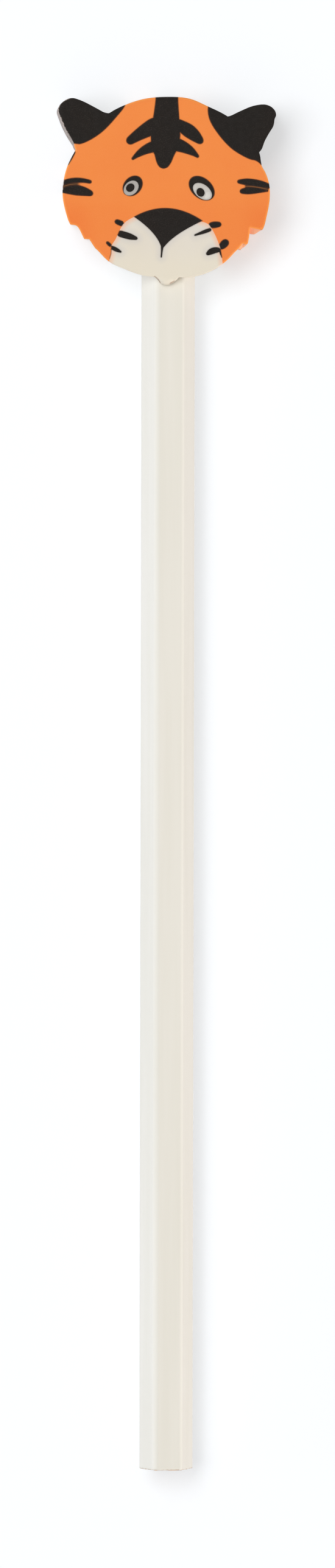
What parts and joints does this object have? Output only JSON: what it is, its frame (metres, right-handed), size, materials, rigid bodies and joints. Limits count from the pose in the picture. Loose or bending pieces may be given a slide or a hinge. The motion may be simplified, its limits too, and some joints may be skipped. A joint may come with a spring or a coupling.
{
  "type": "pencil with animal head eraser",
  "caption": "White hexagonal wood-cased pencil, unsharpened, with a thick flat tiger's head eraser pushed on one end, its markings running through the rubber.",
  "frame": {"origin": "middle of the overall length, on the pencil's axis seen from above, at the level of the head's back face", "axes": "+Y along the pencil towards the head, +Z out of the face, +X to the right as the face is looked at"},
  "size_m": [0.0316, 0.1974, 0.01],
  "materials": {
    "orange_rubber": "matt, cut from a coloured block",
    "black_rubber": "matt, faintly grained",
    "cream_rubber": "matt",
    "white_rubber": "matt",
    "casing_wood": "sawn end, bare",
    "graphite": "satin, fired graphite and clay",
    "white_lacquer": "satin gloss paint film"
  },
  "bodies": {
    "pencil": {"upper_slat": "casing_wood", "lower_slat": "casing_wood", "graphite_core": "graphite", "lacquer_coat": "white_lacquer"},
    "topper": {"face_body": "orange_rubber", "muzzle": "cream_rubber", "nose": "black_rubber", "left_ear": "black_rubber", "right_ear": "black_rubber", "left_temple_stripe": "black_rubber", "crown_stripe": "black_rubber", "left_cheek_stripe_upper": "black_rubber", "left_cheek_stripe_lower": "black_rubber", "right_cheek_stripe_upper": "black_rubber", "right_cheek_stripe_lower": "black_rubber", "left_eye_rim": "black_rubber", "left_eye_white": "white_rubber", "left_pupil": "black_rubber", "right_eye_rim": "black_rubber", "right_eye_white": "white_rubber", "right_pupil": "black_rubber", "left_whisker_1": "black_rubber", "left_whisker_2": "black_rubber", "left_whisker_3": "black_rubber", "left_whisker_4": "black_rubber", "right_whisker_1": "black_rubber", "right_whisker_2": "black_rubber", "right_whisker_3": "black_rubber", "right_whisker_4": "black_rubber"}
  },
  "joints": [
    {"name": "topper_pull", "type": "slide", "parent": "pencil", "child": "topper", "axis": [0, 1, 0], "range_m": [0, 0.0144]}
  ]
}
